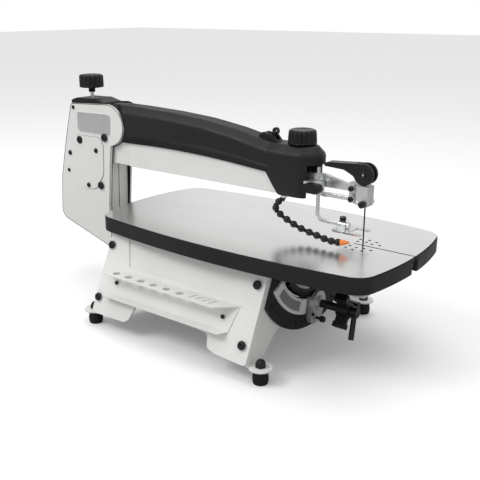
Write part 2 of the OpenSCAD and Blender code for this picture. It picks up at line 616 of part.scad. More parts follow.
module head_pins() color(steel) at_blade() {
    ycyl(rocker_x, rocker_z, 4, -29, 29);
    ycyl(rocker_x, rocker_z - link_gap, 3, -beam_half, -3);
    // guide and clamp block of the hold-down rod
    difference() {
        box(-96, -66, -30, -14.5, 82, 97);
        zcyl(-74, -20, 3 + slide_gap, 77, 98);
        ycyl(-74, 90, 2.5 + slide_gap, -31, -20);
    }
    // swivel socket of the air hose
    zcyl(-135, -26.5, 5.4, 63.4, 67);
}
module air_pump() color(rubber) at_blade() {
    box(-250, -205, -15, 15, beam_z + 4, 96);
    zcyl(-190, 0, 9, beam_z + 4, 100);
    xcyl(0, 84, 3, -205, -190);
}
module switch_base() color(black) at_blade() difference() {
    slab_xz(-9, 9) polygon(rounded([[-200, 157, 2], [-193, 163.5, 5], [-172, 160, 4], [-162, 149, 0],
        [-163, 146, 0], [-199, 150, 0]]));
    slab_xz(-9.1, 9.1) polygon(concat(cover_top, [[-176, 130], [-560, 130]]));
    box(-176.1, -160, -9.1, 9.1, 140, 150.2);
    box(-187, -165, -5, 5, 150, 170);
    ycyl(-176, 157, 2, -8, 8);
}
module switch_toggle() color(black) at_blade() difference() {
    union() {
        ycyl(-176, 157, 4.2, -4.6, 4.6);
        web([-176, 157], [-171, 166], 6, -4.6, 4.6);
        ycyl(-171, 166, 6, -2.5, 2.5);
        ycyl(-176, 157, 1.9, -7.8, 7.8);
    }
    ycyl(-171, 166, 3, -6, 6);
}
module speed_dial() color(black) at_blade() translate([dial_x, 0, 0]) {
    translate([0, 0, 150.3]) cylinder(r1 = 24.4, r2 = 23.6, h = 3.5);
    translate([0, 0, 153.8]) fluted(23, 20.4, 18, 2.4);
    translate([0, 0, 146.3]) cylinder(r = 3.94, h = 5);
}
module tube_between(p, q, r) {
    d = q - p;
    translate(p) rotate([0, acos(d[2] / norm(d)), atan2(d[1], d[0])]) cylinder(r = r, h = norm(d));
}
rod_path = [[-74, -20, 121], [-74, -20, 42], [-70, -17.5, 35], [-58, -9, 30.5], [-46, 0, 28]];
module holddown() color(steel) at_blade() {
    for (i = [0:3]) tube_between(rod_path[i], rod_path[i + 1], 3);
    for (i = [1:3]) translate(rod_path[i]) sphere(r = 3.05);
    xcyl(0, swivel_z, 3, -49, -29);
    xcyl(0, swivel_z, 5, -29, -26);
}
foot_side = [[-29, 20.5, 2], [0, 20.5, 0], [4, 18, 0], [4, 14, 0], [0, 11.5, 0], [-18, 11.5, 0]];
module holddown_foot() color(steel) at_blade() {
    difference() {
        union() {
            translate([0, 0, 19.5]) linear_extrude(3) polygon(rounded(concat([[-50, 22, 10]], foot_side,
                [for (i = [len(foot_side) - 1:-1:0]) [foot_side[i][0], -foot_side[i][1], foot_side[i][2]]],
                [[-50, -22, 10]])));
            xcyl(0, swivel_z, 5.5, -44, -31);
            box(-44, -31, -5.5, 5.5, 19.5, swivel_z);
        }
        xcyl(0, swivel_z, 3 + slide_gap, -51, -20);
    }
    zcyl(-38, 0, 2.5, swivel_z + 4, swivel_z + 7);
    translate([-38, 0, swivel_z + 6]) fluted(5, 7, 10, 1.1);
}
module holddown_knob() color(black) at_blade() difference() {
    union() {
        slab_xz(-44, -33) polygon(rounded([[-90, 82.5, 7.4], [-58, 82.5, 7.4], [-58, 97.5, 7.4],
            [-90, 97.5, 7.4]]));
        ycyl(-74, 90, 2.5, -34, -23.2);
    }
    zcyl(-74, -20, 3 + slide_gap, 70, 110);
}
// Jointed air hose: one bead at each point of its route, then the nozzle
hose_path = [[-135, -26.5, 63.2], [-144, -29, 55], [-148, -31, 44], [-138, -32, 35], [-124, -33, 28.5],
             [-110, -33.5, 23], [-95, -34, 18.5], [-79, -35, 15.5], [-63, -38, 14], [-47, -41.5, 12.5],
             [-33, -43.5, 11.8], [-21, -43.5, 12.2]];
hose_end = len(hose_path) - 1;
function along(i) = unit(hose_path[min(i + 1, hose_end)] - hose_path[i - 1]);
hose_rings = concat([[hose_path[0], [0, 0, -1], hose_r]],
    [for (i = [1:hose_end]) for (k = [[-4, hose_r], [-2.2, bead_r], [2.2, bead_r], [4, hose_r]])
        [hose_path[i] + k[0] * along(i), along(i), k[1]]],
    [for (k = [[7, 4.6], [18, 1.6]]) [hose_path[hose_end] + k[0] * unit([1, 0.2, 0.12]), [1, 0, 0], k[1]]]);
module swept(rings, sides = 12) polyhedron(
    points = [for (r = rings) let (u = unit(cross(r[1], [0, 1, 0])), w = cross(u, r[1]))
        for (j = [0:sides - 1]) r[0] + r[2] * (cos(360 * j / sides) * u + sin(360 * j / sides) * w)],
    faces = concat([[for (j = [sides - 1:-1:0]) j]],
        [for (i = [0:len(rings) - 2]) for (j = [0:sides - 1]) let (a = i * sides, k = (j + 1) % sides)
            [a + j, a + k, a + sides + k, a + sides + j]],
        [[for (j = [0:sides - 1]) (len(rings) - 1) * sides + j]]));
module air_hose() color(black) at_blade() swept(hose_rings);

// ---------- hand controls ----------
module rear_knob() color(black) at_blade() translate([knob_x, 0, 0]) {
    translate([0, 0, 172.5]) cylinder(r = 4, h = 31);
    translate([0, 0, 203]) cylinder(r = 7, h = 7);
    translate([0, 0, 209]) fluted(24, 25, 16, 2.4);
}
module pinion_shaft() color(dark_steel) at_blade() translate([0, 0, -pinion_drop]) {
    root = pinion_pitch - mod;
    tip = pinion_pitch + 0.7 * mod;
    slab_yz(-89.5, -85.5) polygon([for (i = [0:pinion_teeth - 1])
        let (c = (i + 0.5) * 360 / pinion_teeth)
        each [for (k = [[root, -9.6], [tip, -3.4], [tip, 3.4], [root, 9.6]])
            k[0] * [sin(c + k[1]), cos(c + k[1])]]]);
    xcyl(0, 0, 7, -86, -14);
}
module tilt_knob() color(black) at_blade() translate([0, 0, -pinion_drop]) difference() {
    union() {
        xcyl(0, 0, 13, -38, -15);
        for (a = [33, 153, 273]) rotate([-a, 0, 0]) {
            box(-37, -16, -4, 4, -28, -7);
            box(-38, -15, -7, 7, -32, -23);
        }
    }
    xcyl(0, 0, 7, -40, -14.1);
}
module lock_lever() color(black) at_blade() translate([0, 0, -pinion_drop]) {
    xcyl(0, 0, 9, -13.6, -2);
    rotate([-23, 0, 0]) difference() {
        tube_between([-8, 0, 0], [-3, 0, -46], 4.6);
        box(-30, -14, -6, 6, -50, 0);
    }
}

base_side_left();
base_side_right();
base_front_panel();
base_rear_panel();
trunnion_front();
trunnion_rear();
tilt_scale();
pinion_housing();
table_plate();
table_rim();
tool_shelf();
feet();
foot_nuts();
base_bolts();
rack_ring();
arm_nose();
lower_arm();
column_left();
column_right();
column_gaskets();
column_cover_left();
column_cover_right();
access_plate();
badge_plate();
column_screws();
top_cap();
motor();
cord_gland();
arm_pins();
motor_shaft();
rear_rocker();
pitman();
lower_rod();
lower_rocker();
lower_link();
lower_block();
lower_chuck_screw();
rear_knob();
pinion_shaft();
tilt_knob();
lock_lever();
upper_beam();
arm_cover();
head_cover();
head_pins();
air_pump();
switch_base();
switch_toggle();
speed_dial();
upper_rod();
upper_rocker();
upper_link();
upper_block();
blade();
tension_lever();
upper_chuck_screw();
holddown();
holddown_foot();
holddown_knob();
air_hose();
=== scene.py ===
import json
import math
from collections import namedtuple

import bmesh
import bpy
from mathutils import Matrix, Vector


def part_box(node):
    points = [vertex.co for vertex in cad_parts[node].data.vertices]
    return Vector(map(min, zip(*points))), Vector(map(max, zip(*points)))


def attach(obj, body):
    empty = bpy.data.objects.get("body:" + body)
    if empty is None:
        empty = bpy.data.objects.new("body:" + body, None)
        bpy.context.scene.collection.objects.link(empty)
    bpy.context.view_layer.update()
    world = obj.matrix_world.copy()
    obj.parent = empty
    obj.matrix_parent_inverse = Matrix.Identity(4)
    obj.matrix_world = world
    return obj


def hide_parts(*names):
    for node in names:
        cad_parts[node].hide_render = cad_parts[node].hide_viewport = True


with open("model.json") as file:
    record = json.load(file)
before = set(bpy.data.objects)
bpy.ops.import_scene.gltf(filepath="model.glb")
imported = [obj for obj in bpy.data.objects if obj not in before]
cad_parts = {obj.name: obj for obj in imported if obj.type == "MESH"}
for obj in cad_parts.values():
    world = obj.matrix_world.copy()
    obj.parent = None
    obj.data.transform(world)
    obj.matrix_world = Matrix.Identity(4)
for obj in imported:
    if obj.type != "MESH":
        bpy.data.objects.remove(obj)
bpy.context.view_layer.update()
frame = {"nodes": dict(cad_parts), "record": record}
NODES = frame["nodes"]
SLOTS = {part["node"]: part["material_slot"] for part in frame["record"]["subparts"]}

# ---------------------------------------------------------------- reference points
# Positions are in millimetres from the blade: x to the front, y to the right, z up from the table top.
MM = 0.001
blade_low, blade_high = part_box("blade")
BLADE = Vector(((blade_low.x + blade_high.x) / 2, 0.0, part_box("table_plate")[1].z))


def at(x, y, z):
    return BLADE + Vector((x, y, z)) * MM


def at_angle(x, radius, angle):
    """A point at x, round the tilt axis. The angle is in degrees from straight down."""
    return at(x, radius * math.sin(math.radians(angle)), -radius * math.cos(math.radians(angle)))


# ---------------------------------------------------------------- camera
CAMERA_AZIMUTH = math.radians(37.21)
CAMERA_ELEVATION = math.radians(18.2)
CAMERA_LENS = 53.26
CAMERA_PLACE = at(493.9, -975.1, 362.4)


def add_camera():
    data = bpy.data.cameras.new("camera")
    data.lens = CAMERA_LENS
    data.clip_end = 50
    camera = bpy.data.objects.new("camera", data)
    bpy.context.scene.collection.objects.link(camera)
    camera.location = CAMERA_PLACE
    camera.rotation_euler = (math.pi / 2 - CAMERA_ELEVATION, 0, CAMERA_AZIMUTH)
    bpy.context.scene.camera = camera


# ---------------------------------------------------------------- materials
# Noise scales are per metre
CLOUD_SCALE = 9
SHEEN_SCALE = 30
PATCH_SCALE = 14
PEEL_DEPTH = 0.0003
STREAK_DEPTH = 0.0001
# Noise stays mostly within this part of 0 to 1
NOISE_LOW = 0.3
NOISE_HIGH = 0.7


def new_material(name, color, roughness, metallic=0.0, specular=0.5):
    material = bpy.data.materials.new(name)
    material.use_nodes = True
    shader = material.node_tree.nodes["Principled BSDF"]
    shader.inputs["Base Color"].default_value = (*color, 1)
    shader.inputs["Roughness"].default_value = roughness
    shader.inputs["Metallic"].default_value = metallic
    shader.inputs["Specular IOR Level"].default_value = specular
    return material


def noise(material, scale, detail, stretch=(1, 1, 1)):
    """Noise over the object's own metres. A larger stretch makes it finer along that axis."""
    nodes, links = material.node_tree.nodes, material.node_tree.links
    coords = nodes.new("ShaderNodeTexCoord")
    mapping = nodes.new("ShaderNodeMapping")
    mapping.inputs["Scale"].default_value = stretch
    texture = nodes.new("ShaderNodeTexNoise")
    texture.inputs["Scale"].default_value = scale
    texture.inputs["Detail"].default_value = detail
    links.new(coords.outputs["Object"], mapping.inputs["Vector"])
    links.new(mapping.outputs["Vector"], texture.inputs["Vector"])
    return texture.outputs["Fac"]


def vary_color(material, source, low, high):
    """Runs the base colour from low to high with the noise."""
    nodes, links = material.node_tree.nodes, material.node_tree.links
    ramp = nodes.new("ShaderNodeValToRGB")
    first, last = ramp.color_ramp.elements
    first.position, last.position = NOISE_LOW, NOISE_HIGH
    first.color, last.color = (*low, 1), (*high, 1)
    links.new(source, ramp.inputs["Fac"])
    links.new(ramp.outputs["Color"], nodes["Principled BSDF"].inputs["Base Color"])


def vary_roughness(material, source, low, high):
    """Runs the roughness from low to high with the noise."""
    nodes, links = material.node_tree.nodes, material.node_tree.links
    span = nodes.new("ShaderNodeMapRange")
    span.inputs["From Min"].default_value = NOISE_LOW
    span.inputs["From Max"].default_value = NOISE_HIGH
    span.inputs["To Min"].default_value = low
    span.inputs["To Max"].default_value = high
    links.new(source, span.inputs["Value"])
    links.new(span.outputs["Result"], nodes["Principled BSDF"].inputs["Roughness"])


def bump(material, source, strength, distance):
    nodes, links = material.node_tree.nodes, material.node_tree.links
    node = nodes.new("ShaderNodeBump")
    node.inputs["Strength"].default_value = strength
    node.inputs["Distance"].default_value = distance
    links.new(source, node.inputs["Height"])
    links.new(node.outputs["Normal"], nodes["Principled BSDF"].inputs["Normal"])


def painted(name, low, high, roughness, grain, strength, specular=0.5):
    """Powder coat: faint cloudiness, orange peel and a slightly uneven sheen."""
    material = new_material(name, high, roughness, specular=specular)
    vary_color(material, noise(material, CLOUD_SCALE, 4), low, high)
    vary_roughness(material, noise(material, SHEEN_SCALE, 3), roughness - 0.05, roughness + 0.07)
    bump(material, noise(material, grain, 2), strength, PEEL_DEPTH)
    return material


def metal(name, low, high, roughness, grain, stretch=(1, 1, 1), strength=0.0, spread=0.07, metallic=1.0):
    """Machined metal: patches of colour, and streaks of roughness and depth."""
    material = new_material(name, high, roughness, metallic)
    streaks = noise(material, grain, 4, stretch)
    vary_color(material, noise(material, PATCH_SCALE, 4), low, high)
    vary_roughness(material, streaks, roughness - spread, roughness + spread)
    if strength > 0:
        bump(material, streaks, strength, STREAK_DEPTH)
    return material


LOOKS = {
    "white_paint": painted("white_powder_coat", (0.7, 0.7, 0.68), (0.75, 0.75, 0.735),
                           roughness=0.4, grain=1300, strength=0.1, specular=0.4),
    "black_paint": painted("black_powder_coat", (0.009, 0.009, 0.0095), (0.015, 0.015, 0.0155),
                           roughness=0.45, grain=1500, strength=0.3, specular=0.26),
    "black_plastic": painted("black_moulding", (0.006, 0.006, 0.0062), (0.011, 0.011, 0.0112),
                             roughness=0.34, grain=2400, strength=0.2, specular=0.3),
    "rubber": painted("black_rubber", (0.006, 0.006, 0.006), (0.011, 0.011, 0.011),
                      roughness=0.62, grain=900, strength=0.3, specular=0.25),
    "table_steel": metal("ground_steel", (0.78, 0.78, 0.775), (0.81, 0.81, 0.805),
                         roughness=0.25, grain=5, stretch=(1, 3, 1), spread=0.015),
    "bright_steel": metal("bright_steel", (0.62, 0.63, 0.64), (0.75, 0.755, 0.76),
                          roughness=0.27, grain=120, stretch=(1, 8, 8), strength=0.08, spread=0.06,
                          metallic=0.85),
    "cast_alloy": metal("cast_alloy", (0.46, 0.465, 0.47), (0.62, 0.625, 0.63),
                        roughness=0.42, grain=420, strength=0.3, spread=0.08, metallic=0.6),
    "dark_steel": metal("dark_steel", (0.035, 0.035, 0.037), (0.07, 0.07, 0.073),
                        roughness=0.38, grain=200, strength=0.2),
    "scale_white": painted("scale_plate", (0.66, 0.66, 0.64), (0.74, 0.74, 0.72),
                           roughness=0.45, grain=800, strength=0.05),
}
# Dark grey of the strip round the access plate: painted shadow in the gap between plate and cover
SHADOW_GAP = painted("painted_plate_shadow", (0.1, 0.1, 0.1), (0.16, 0.16, 0.16), roughness=0.6, grain=900,
                     strength=0.05)
BADGE = metal("badge_alloy", (0.7, 0.7, 0.7), (0.8, 0.8, 0.8), roughness=0.36, grain=240, stretch=(1, 1, 6),
              strength=0.05)
ORANGE = painted("orange_nozzle", (0.75, 0.2, 0.03), (0.85, 0.27, 0.05), roughness=0.4, grain=900,
                 strength=0.1)
INK = painted("scale_ink", (0.02, 0.02, 0.02), (0.04, 0.04, 0.04), roughness=0.5, grain=900, strength=0.05)
WINDOW = painted("scale_window", (0.16, 0.162, 0.165), (0.24, 0.243, 0.247), roughness=0.4, grain=700,
                 strength=0.1)

# ---------------------------------------------------------------- CAD nodes that stay
# Vertices of the CAD closer than this, in metres, are one
WELD = 2e-6
SHARP_ANGLE = math.radians(34)
UP_FACING = 0.5
FACE_WEIGHT = 60
# Width of the rounding along each node's edges, in millimetres
EDGE_WIDTH = 0.6
EDGE_WIDTHS = {
    "table_plate": 0.5, "table_rim": 1.6, "base_side_left": 0.5, "base_side_right": 0.5,
    "base_front_panel": 0.5, "base_rear_panel": 0.5, "tool_shelf": 0.4, "trunnion_front": 0.8,
    "upper_beam": 1.6, "column_cover_left": 1.2, "column_cover_right": 1.2, "column_left": 2.0,
    "column_right": 2.0, "access_plate": 0.5, "badge_plate": 1.4, "top_cap": 1.6, "rack_ring": 0.3,
    "pinion_shaft": 0.3, "pinion_housing": 1.0, "tension_lever": 1.4, "tilt_knob": 1.4,
    "lock_lever": 1.0, "holddown_knob": 2.5, "upper_block": 0.8, "blade": 0.0, "tilt_scale": 0.3,
    "switch_base": 1.0, "air_pump": 1.5, "motor": 2.0,
}


def round_edges(obj, width):
    """Rounds the sharp edges of a mesh by width millimetres."""
    modifier = obj.modifiers.new("edges", "BEVEL")
    modifier.width = width * MM
    modifier.segments = 2
    modifier.limit_method = "ANGLE"
    modifier.angle_limit = SHARP_ANGLE


def even_shading(obj):
    """Shades a mesh by its large faces."""
    modifier = obj.modifiers.new("normals", "WEIGHTED_NORMAL")
    modifier.keep_sharp = True
    return modifier


def finish_node(node):
    """Gives a CAD node its material, joins its faces and rounds its edges."""
    obj = NODES[node]
    if not obj.material_slots:
        obj.data.materials.append(None)
    for material_slot in obj.material_slots:
        material_slot.material = LOOKS[SLOTS[node]]
    for polygon in obj.data.polygons:
        polygon.use_smooth = True
    obj.modifiers.new("weld", "WELD").merge_threshold = WELD
    width = EDGE_WIDTHS.get(node, EDGE_WIDTH)
    if width > 0:
        round_edges(obj, width)
    even_shading(obj).weight = FACE_WEIGHT


def darken_holes():
    """Every face of the table plate but its top is dark: its edge, holes, slot and underside."""
    mesh = NODES["table_plate"].data
    mesh.materials.append(LOOKS["dark_steel"])
    for polygon in mesh.polygons:
        if polygon.normal.z < UP_FACING:
            polygon.material_index = len(mesh.materials) - 1


# ---------------------------------------------------------------- mesh helpers
# Above 1, the ridges of a fluted knob are wider than its grooves
FLUTE_POWER = 1.5


def add_piece(name, bm, body, look, replaced=(), smooth=True, bevel=0.0):
    """A finished mesh that rides on a body and may stand for CAD nodes."""
    bmesh.ops.recalc_face_normals(bm, faces=bm.faces)
    mesh = bpy.data.meshes.new(name)
    bm.to_mesh(mesh)
    bm.free()
    obj = bpy.data.objects.new(name, mesh)
    bpy.context.scene.collection.objects.link(obj)
    mesh.materials.append(look)
    for polygon in mesh.polygons:
        polygon.use_smooth = smooth
    if bevel > 0:
        round_edges(obj, bevel)
    even_shading(obj)
    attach(obj, body)
    if replaced:
        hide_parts(*replaced)


def bridge(bm, rings):
    """Joins equal rings of vertices with quads, and closes the two ends."""
    count = len(rings[0])
    for first, second in zip(rings, rings[1:]):
        for k in range(count):
            j = (k + 1) % count
            bm.faces.new((first[k], first[j], second[j], second[k]))
    bm.faces.new(rings[0][::-1])
    bm.faces.new(rings[-1])


def skin(bm, rings):
    """A closed body through equal rings of points."""
    bridge(bm, [[bm.verts.new(point) for point in ring] for ring in rings])


def frame_along(origin, direction):
    """A matrix whose z axis runs along direction from origin."""
    z = Vector(direction).normalized()
    x = Vector((0, 1, 0)).cross(z)
    if x.length < 1e-4:
        x = Vector((1, 0, 0))
    x.normalize()
    y = z.cross(x)
    matrix = Matrix((x, y, z)).transposed().to_4x4()
    matrix.translation = origin
    return matrix


def hex_factor(angle):
    """Radius of a hexagon at an angle, as a share of its corner radius."""
    return math.cos(math.pi / 6) / math.cos((angle % (math.pi / 3)) - math.pi / 6)


def turned(bm, rows, place, segments=48, flutes=0, depth=0.0):
    """A turned body. A row is (radius, height) in millimetres, and may end in "flute" or "hex"."""
    rings = []
    for radius, height, *shape in rows:
        ring = []
        for k in range(segments):
            angle = 2 * math.pi * k / segments
            r = radius
            if "flute" in shape:
                r -= depth * max(0.0, math.cos(flutes * angle)) ** FLUTE_POWER
            if "hex" in shape:
                r *= hex_factor(angle)
            ring.append(place @ (Vector((r * math.cos(angle), r * math.sin(angle), height)) * MM))
        rings.append(ring)
    skin(bm, rings)


def socket_screw(bm, origin, direction, radius, height):
    """A button-head screw with a hexagon socket."""
    socket = radius * 0.42
    turned(bm, [
        (socket, height * 0.35, "hex"), (socket, height * 0.97, "hex"), (socket * 1.3, height),
        (radius * 0.72, height * 0.93), (radius * 0.93, height * 0.62), (radius, height * 0.25),
        (radius, -0.3)], frame_along(origin, direction), 36)


def interpolate(line, x):
    """Height at x of a line of (x, z) points, for an x between its ends."""
    for (x0, z0), (x1, z1) in zip(line, line[1:]):
        if x <= x1:
            break
    return z0 + (z1 - z0) * (x - x0) / (x1 - x0)


def prism(outline, half):
    """A closed prism of an (x, z) outline, from -half to half across y."""
    bm = bmesh.new()
    skin(bm, [[at(x, y, z) for x, z in outline] for y in (-half, half)])
    return bm


def loose_object(bm, name):
    """A linked object made from a bmesh, for use in a boolean."""
    bmesh.ops.recalc_face_normals(bm, faces=bm.faces)
    mesh = bpy.data.meshes.new(name)
    bm.to_mesh(mesh)
    bm.free()
    obj = bpy.data.objects.new(name, mesh)
    bpy.context.scene.collection.objects.link(obj)
    return obj


def apply_cutters(bm, cutters):
    """Subtracts closed meshes from a closed mesh and returns the result as a bmesh."""
    blank = loose_object(bm, "blank")
    tools = [loose_object(cutter, "cutter") for cutter in cutters]
    for tool in tools:
        modifier = blank.modifiers.new("cut", "BOOLEAN")
        modifier.operation = "DIFFERENCE"
        modifier.solver = "EXACT"
        modifier.object = tool
    bpy.context.view_layer.update()
    evaluated = blank.evaluated_get(bpy.context.evaluated_depsgraph_get())
    result = bmesh.new()
    result.from_mesh(evaluated.to_mesh())
    evaluated.to_mesh_clear()
    for obj in [blank] + tools:
        bpy.data.objects.remove(obj)
    return result


# ---------------------------------------------------------------- arm cover
# Crown and lower edge of the cover as (x, z)
COVER_TOP = [(-556, 180), (-549, 183.2), (-520, 183.4), (-460, 182.2), (-384, 179.2), (-313, 173.7),
             (-246, 164.2), (-172, 149.2), (-160, 146.9)]
COVER_LOW = [(-512, 113.5), (-493, 113.5), (-429, 114.7), (-369, 114.2), (-312, 112.5),
             (-258, 109.5), (-206, 105), (-160, 101)]
COVER_REAR, COVER_FRONT = COVER_LOW[0][0], COVER_LOW[-1][0]
COVER_HALF = 28.9
COVER_STEPS = 44
# The cover's rear end follows the round of the column's covers, ROUND_LEAST or more ahead of its centre
ROUND_X, ROUND_Z = -548, 140
ROUND_RADIUS = 46
ROUND_LEAST = 14
# Narrow strip that runs back between the column's covers. Its shoulder takes a share of its height
STRIP_REAR, STRIP_FRONT = -556, -506
STRIP_HALF = 22.8
STRIP_FLOOR = 172
STRIP_SHOULDER = 0.7
STRIP_SINK = 0.3
STRIP_OVERLAP = 0.1
STRIP_STEPS = 12
# Shoulder of the arm and head covers: drop from the crown against how far it has come inward
SHOULDER = ((17.5, 0), (15, 0.25), (12.9, 0.9), (11.1, 2.0), (9.3, 3.5), (6.2, 6.4), (3.1, 9.2), (1.3, 10.9),
            (0.35, 12.8), (0, 15.5))
SHOULDER_HEIGHT = SHOULDER[0][0]


def cover_section(top, low, half, height=1.0):
    """A cover section as (y, z), up one side, over the crown and down the other."""
    side = top - SHOULDER_HEIGHT * height
    right = [(half, low), (half, low + (side - low) * 0.5)]
    right += [(half - inset, top - drop * height) for drop, inset in SHOULDER]
    return right + [(-y, z) for y, z in reversed(right)]


def cover_ring(share):
    """The section a share of the way from the rear end, bent round the column at the rear."""
    x = COVER_REAR + (COVER_FRONT - COVER_REAR) * share
    ring = []
    for y, z in cover_section(interpolate(COVER_TOP, x), interpolate(COVER_LOW, x), COVER_HALF):
        reach = math.sqrt(max(ROUND_RADIUS ** 2 - (z - ROUND_Z) ** 2, 0.0))
        rear = ROUND_X + max(reach, ROUND_LEAST)
        ring.append(at(rear + (COVER_FRONT - rear) * share, y, z))
    return ring


def strip_ring(share):
    """The strip's section a share of the way from its rear end."""
    x = STRIP_REAR + (STRIP_FRONT - STRIP_REAR) * share
    top = interpolate(COVER_TOP, x) - STRIP_SINK
    height = STRIP_SHOULDER * (top - STRIP_FLOOR) / SHOULDER_HEIGHT
    section = cover_section(top, STRIP_FLOOR - STRIP_OVERLAP, STRIP_HALF, height)
    return [at(x, y, z) for y, z in section]


def arm_cover():
    bm = bmesh.new()
    skin(bm, [cover_ring(i / COVER_STEPS) for i in range(COVER_STEPS + 1)])
    skin(bm, [strip_ring(i / STRIP_STEPS) for i in range(STRIP_STEPS + 1)])
    add_piece("arm_cover_shell", bm, "upper_arm", LOOKS["black_paint"], ["arm_cover"])


# ---------------------------------------------------------------- head cover
# Half of the head's plan as (x, y) from the arm forward, and the round front that follows it
HEAD_SIDE = [(-176, 27.6), (-170, 28.8), (-163, 30.1), (-155, 31.2), (-146, 31.75), (-136, 31.9),
             (-124, 31.9)]
HEAD_HALF = HEAD_SIDE[-1][1]
HEAD_CENTRE = -112
HEAD_RADIUS = 33.4
HEAD_STEPS = 44
HEAD_TOP = 149.4
# Lower edge and wall as (z, inset)
HEAD_WALL = [(66.9, 1.6), (67.6, 0.5), (69.5, 0), (100, 0)]
# Outlines (x, z) cut from the head: under the arm, out of its front, and its inside
REAR_CUT = [(-180, 60), (-180, 106.5), (-176, 106.5), (-145.5, 68.6), (-143.6, 67.2), (-141, 66.4),
            (-141, 60)]
FRONT_CUT = [(-96, 60), (-70, 60), (-70, 121), (-96, 121)]
HOLLOW = [(-174, 100), (-160, 72), (-160, 60), (-95, 60), (-95, 136), (-174, 138)]
CUT_HALF = 40
HOLLOW_HALF = 21


def head_outline(inset):
    """Plan of the head: sides that widen from the arm, and a round front."""
    side = [(x, y - inset) for x, y in HEAD_SIDE]
    length, half = HEAD_RADIUS - inset, HEAD_HALF - inset
    points = [(x, -y) for x, y in side]
    for k in range(HEAD_STEPS + 1):
        angle = math.pi * (k / HEAD_STEPS - 0.5)
        points.append((HEAD_CENTRE + length * math.cos(angle), half * math.sin(angle)))
    return points + side[::-1]


def head_cover():
    levels = HEAD_WALL + [(HEAD_TOP - drop, inset) for drop, inset in SHOULDER]
    bm = bmesh.new()
    skin(bm, [[at(x, y, z) for x, y in head_outline(inset)] for z, inset in levels])
    cutters = [prism(REAR_CUT, CUT_HALF), prism(FRONT_CUT, CUT_HALF), prism(HOLLOW, HOLLOW_HALF)]
    add_piece("head_cover_shell", apply_cutters(bm, cutters), "upper_arm",
              LOOKS["black_paint"], ["head_cover"], bevel=0.8)


# ---------------------------------------------------------------- knobs
# Heights are from the table top, flare is how much the skirt stands out, stem is where the neck starts
Knob = namedtuple("Knob", "base top radius flare flutes depth neck stem")
SPEED_DIAL = Knob(base=150.4, top=174, radius=22.6, flare=1.3, flutes=18, depth=2.3, neck=3.9, stem=146.4)
REAR_KNOB = Knob(base=209, top=233.9, radius=23.8, flare=0.1, flutes=16, depth=2.4, neck=6.6, stem=200)
DIAL_CENTRE = at(-119, 0, 0)
REAR_CENTRE = at(-620, 0, 0)
ROD_RADIUS = 3.9
THREAD_ROOT = 3.3
THREAD_PITCH = 1.5
THREAD_TOP = 202.5
ROD_TOP = 203.2


def fluted_knob(name, body, centre, knob, replaced=()):
    """A moulded knob: skirt, deep flutes, rounded crown with a dished face, over a neck."""
    base, top, radius = knob.base, knob.top, knob.radius
    place = Matrix.Translation(centre)
    bm = bmesh.new()
    turned(bm, [
        (radius * 0.9, base), (radius + knob.flare, base + 0.8), (radius + knob.flare, base + 2.6),
        (radius + knob.flare * 0.9, base + 3.2, "flute"),
        (radius + knob.flare * 0.5, base + (top - base) * 0.55, "flute"), (radius, top - 3.4, "flute"),
        (radius - 0.9, top - 1.6, "flute"), (radius - 2.6, top - 0.5), (radius - 4.4, top),
        (radius - 6.5, top - 0.4), (radius * 0.45, top - 1.2), (0.4, top - 1.2)],
        place, 144, knob.flutes, knob.depth)
    turned(bm, [(knob.neck, knob.stem), (knob.neck, base - 3), (knob.neck + 1.5, base + 0.4)], place)
    add_piece(name, bm, body, LOOKS["black_plastic"], replaced)


def tension_rod():
    """Threaded rod under the rear knob."""
    rows = []
    z = (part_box("rear_knob")[0].z - BLADE.z) / MM
    while z < THREAD_TOP:
        rows += [(ROD_RADIUS, z), (THREAD_ROOT, z + THREAD_PITCH / 2)]
        z += THREAD_PITCH
    rows.append((ROD_RADIUS, ROD_TOP))
    bm = bmesh.new()
    turned(bm, rows, Matrix.Translation(REAR_CENTRE), 24)
    add_piece("tension_rod", bm, "rear_knob", LOOKS["bright_steel"], ["rear_knob"])


# ---------------------------------------------------------------- air hose
# The first point is the socket under the head, and each of the others is the middle of a bead
HOSE = [(-135, -26.5, 63.2), (-144, -29, 55), (-148, -31, 44), (-138, -32, 35), (-124, -33, 28.5),
        (-110, -33.5, 23), (-95, -34, 18.5), (-79, -35, 15.5), (-63, -38, 14), (-47, -41.5, 12.5),
        (-33, -43.5, 11.8), (-21, -43.5, 12.2)]
HOSE_SOCKET = [(3.4, 0), (3.4, 6)]
SOCKET_DIRECTION = (-0.4, -0.2, -1)
BEAD = [(2.7, -8.2), (2.9, -6.0), (3.5, -5.2), (4.7, -4.0), (5.5, -2.6), (5.9, -1.0), (5.9, 0.6), (5.4, 2.2),
        (4.4, 3.8), (3.6, 4.8), (3.1, 5.4), (2.8, 8.2)]
NOZZLE = [(4.2, 3.4), (4.7, 4.4), (4.7, 7.6), (4.1, 8.6), (2.3, 16.6), (1.9, 17.6), (1.1, 17.6), (1.1, 12)]
NOZZLE_DIRECTION = (1, 0.2, 0.12)


def air_hose():
    points = [at(*place) for place in HOSE]
    bm = bmesh.new()
    turned(bm, HOSE_SOCKET, frame_along(points[0], SOCKET_DIRECTION), 24)
    for before, point, after in zip(points, points[1:], points[2:] + points[-1:]):
        turned(bm, BEAD, frame_along(point, after - before), 28)
    add_piece("hose_beads", bm, "air_hose", LOOKS["black_plastic"], ["air_hose"])
    bm = bmesh.new()
    turned(bm, NOZZLE, frame_along(points[-1], NOZZLE_DIRECTION), 32)
    add_piece("hose_nozzle", bm, "air_hose", ORANGE)


# ---------------------------------------------------------------- screws, nuts and feet
# Lean of the base's side panels
SPLAY = math.radians(24.5)
